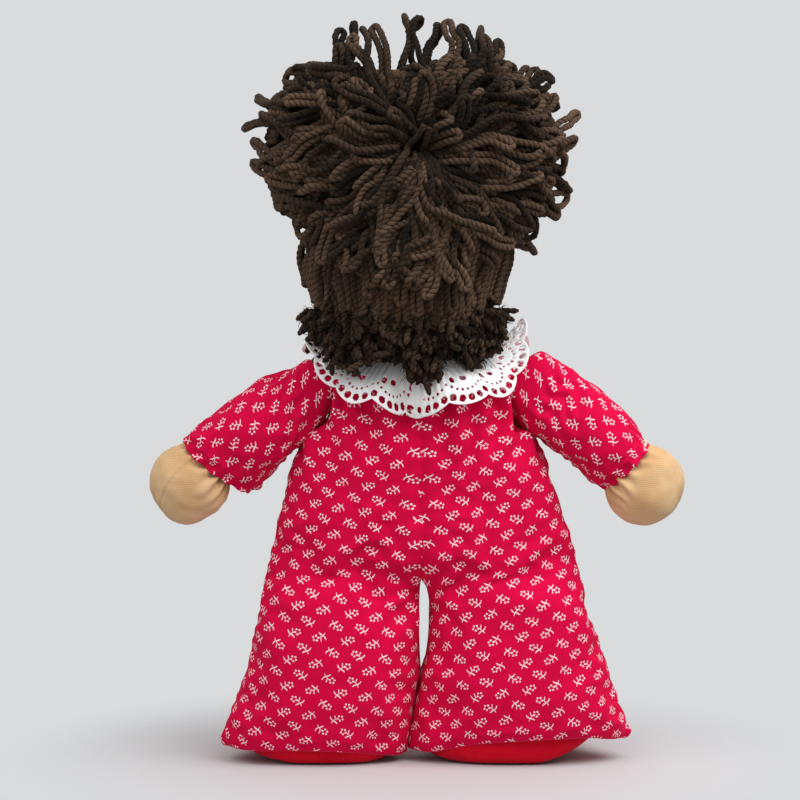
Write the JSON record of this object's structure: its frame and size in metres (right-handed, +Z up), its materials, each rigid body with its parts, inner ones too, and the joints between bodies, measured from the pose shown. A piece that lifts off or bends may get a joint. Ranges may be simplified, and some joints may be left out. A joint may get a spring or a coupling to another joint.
{
  "type": "rag doll",
  "caption": "Stuffed cloth rag doll in a red calico romper with a gathered lace collar, knitted ball hands, red slippers and wild wool-yarn hair.",
  "frame": {"origin": "on the floor under the middle of the doll, in the plane of the soles", "axes": "+Z up, -Y the way the doll faces, +X the doll's own left side"},
  "size_m": [0.2564, 0.119, 0.3498],
  "materials": {
    "red_calico": "printed plain-weave cotton, matt",
    "red_twill": "cotton twill, matt",
    "tan_jersey": "knitted cotton jersey, matt",
    "wool_wadding": "loose wool, matt",
    "brown_yarn": "plied wool yarn, matt",
    "white_lace": "eyelet lace, matt",
    "linen_thread": "waxed thread, satin",
    "dark_embroidery": "embroidery cotton, satin",
    "rose_embroidery": "embroidery cotton, satin"
  },
  "bodies": {
    "torso": {"torso_stuffing": "wool_wadding", "romper_back_left": "red_calico", "romper_front_left": "red_calico", "hip_fold_left": "red_calico", "romper_back_right": "red_calico", "romper_front_right": "red_calico", "hip_fold_right": "red_calico", "neck_binding": "red_calico", "collar_lace": "white_lace"},
    "neck_thread": {"neck_tie": "linen_thread"},
    "neck": {"neck_stuffing": "wool_wadding"},
    "head": {"head_skin": "tan_jersey", "head_stuffing": "wool_wadding", "eye_left": "dark_embroidery", "eye_right": "dark_embroidery", "mouth": "rose_embroidery", "hair_crown": "brown_yarn", "hair_back": "brown_yarn", "hair_nape": "brown_yarn", "hair_fringe": "brown_yarn", "hair_tie_thread": "linen_thread"},
    "shoulder_left": {"shoulder_stuffing_left": "wool_wadding"},
    "arm_left": {"sleeve_left": "red_calico", "arm_stuffing_left": "wool_wadding"},
    "hand_left": {"hand_skin_left": "tan_jersey", "hand_stuffing_left": "wool_wadding", "wrist_tie_left": "linen_thread"},
    "leg_left": {"trouser_back_left": "red_calico", "trouser_front_left": "red_calico", "leg_stuffing_left": "wool_wadding", "shoe_upper_left": "red_twill", "shoe_stuffing_left": "wool_wadding", "sole_left": "red_twill"},
    "shoulder_right": {"shoulder_stuffing_right": "wool_wadding"},
    "arm_right": {"sleeve_right": "red_calico", "arm_stuffing_right": "wool_wadding"},
    "hand_right": {"hand_skin_right": "tan_jersey", "hand_stuffing_right": "wool_wadding", "wrist_tie_right": "linen_thread"},
    "leg_right": {"trouser_back_right": "red_calico", "trouser_front_right": "red_calico", "leg_stuffing_right": "wool_wadding", "shoe_upper_right": "red_twill", "shoe_stuffing_right": "wool_wadding", "sole_right": "red_twill"}
  },
  "joints": [
    {"name": "head_turn", "type": "hinge", "parent": "torso", "child": "neck_thread", "pos_m": [0, 0.00477, 0.192], "axis": [0, 0, 1], "range_deg": [-60, 60], "stiffness_Nm_per_rad": 0.2, "deforming": ["collar_lace", "hair_nape"]},
    {"name": "head_tilt", "type": "hinge", "parent": "neck_thread", "child": "neck", "pos_m": [0, 0.00477, 0.192], "axis": [0, 1, 0], "range_deg": [-18, 18], "stiffness_Nm_per_rad": 0.5, "deforming": ["collar_lace", "hair_nape"]},
    {"name": "head_nod", "type": "hinge", "parent": "neck", "child": "head", "pos_m": [0, 0.00477, 0.192], "axis": [1, 0, 0], "range_deg": [-18, 28], "stiffness_Nm_per_rad": 0.5, "deforming": ["collar_lace", "hair_nape"]},
    {"name": "arm_left_raise", "type": "hinge", "parent": "torso", "child": "shoulder_left", "pos_m": [0.052, 0.00477, 0.17], "axis": [0, -1, 0], "range_deg": [-5, 60], "stiffness_Nm_per_rad": 0.3},
    {"name": "arm_left_swing", "type": "hinge", "parent": "shoulder_left", "child": "arm_left", "pos_m": [0.052, 0.00477, 0.17], "axis": [-0.5, 0, -0.866], "range_deg": [-40, 40], "stiffness_Nm_per_rad": 0.2},
    {"name": "hand_left_bend", "type": "hinge", "parent": "arm_left", "child": "hand_left", "pos_m": [0.10006, 0.00477, 0.14225], "axis": [0, -1, 0], "range_deg": [-18, 18], "stiffness_Nm_per_rad": 0.06},
    {"name": "leg_left_swing", "type": "hinge", "parent": "torso", "child": "leg_left", "pos_m": [0.039, 0.00477, 0.089], "axis": [-1, 0, 0], "range_deg": [-15, 80], "stiffness_Nm_per_rad": 0.6, "deforming": ["hip_fold_left"]},
    {"name": "arm_right_raise", "type": "hinge", "parent": "torso", "child": "shoulder_right", "pos_m": [-0.052, 0.00477, 0.17], "axis": [0, 1, 0], "range_deg": [-5, 60], "stiffness_Nm_per_rad": 0.3},
    {"name": "arm_right_swing", "type": "hinge", "parent": "shoulder_right", "child": "arm_right", "pos_m": [-0.052, 0.00477, 0.17], "axis": [-0.5, 0, 0.866], "range_deg": [-40, 40], "stiffness_Nm_per_rad": 0.2},
    {"name": "hand_right_bend", "type": "hinge", "parent": "arm_right", "child": "hand_right", "pos_m": [-0.10006, 0.00477, 0.14225], "axis": [0, 1, 0], "range_deg": [-18, 18], "stiffness_Nm_per_rad": 0.06},
    {"name": "leg_right_swing", "type": "hinge", "parent": "torso", "child": "leg_right", "pos_m": [-0.039, 0.00477, 0.089], "axis": [-1, 0, 0], "range_deg": [-15, 80], "stiffness_Nm_per_rad": 0.6, "deforming": ["hip_fold_right"]}
  ]
}
